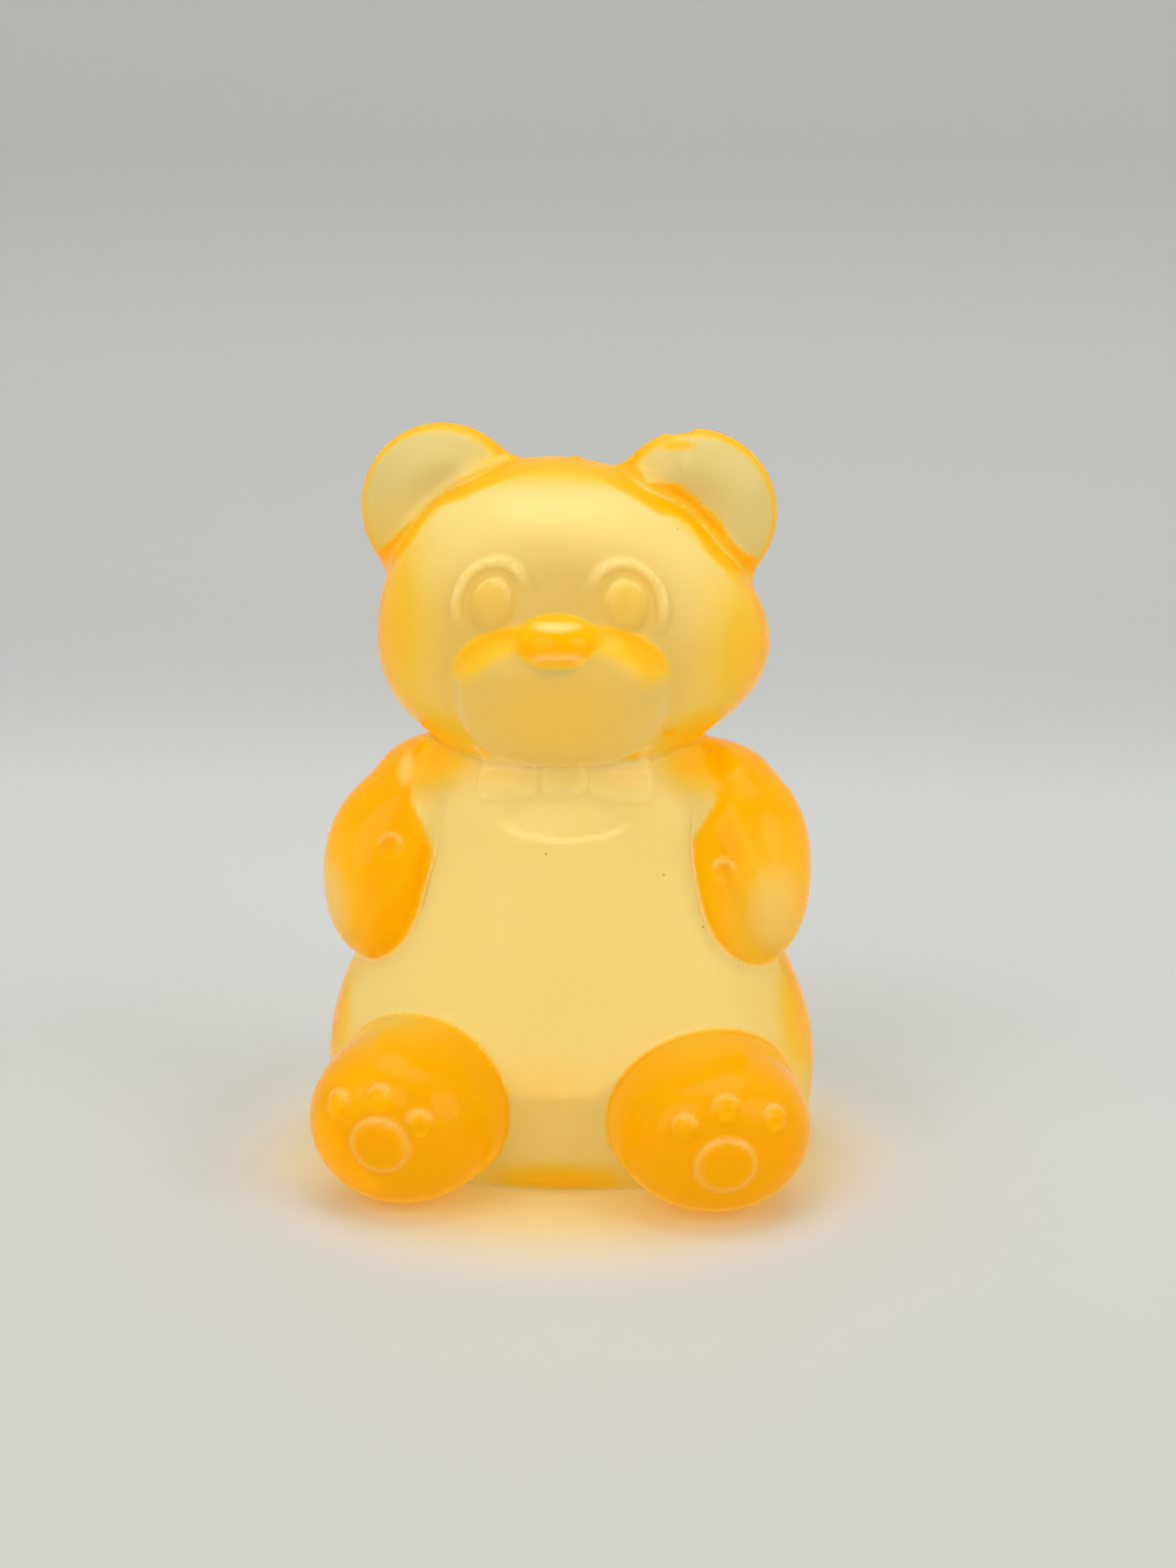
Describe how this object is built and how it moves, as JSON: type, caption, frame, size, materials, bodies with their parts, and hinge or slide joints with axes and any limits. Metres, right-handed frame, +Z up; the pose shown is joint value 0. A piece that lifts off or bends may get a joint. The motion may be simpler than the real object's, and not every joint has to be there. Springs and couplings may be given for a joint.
{
  "type": "gummy bear",
  "caption": "Sitting gummy bear moulded in clear orange gel, with round ears, a raised snout, a small bow and padded feet.",
  "frame": {"origin": "on the ground plane, under the middle of the bear's bounding box", "axes": "+Z up, the bear faces -Y, and its left arm is at +X"},
  "size_m": [0.0376, 0.0347, 0.0555],
  "materials": {
    "orange_gel": "clear, slightly hazy gel with a soft shine"
  },
  "bodies": {
    "root": {"gummy_bear": "orange_gel"}
  },
  "joints": []
}
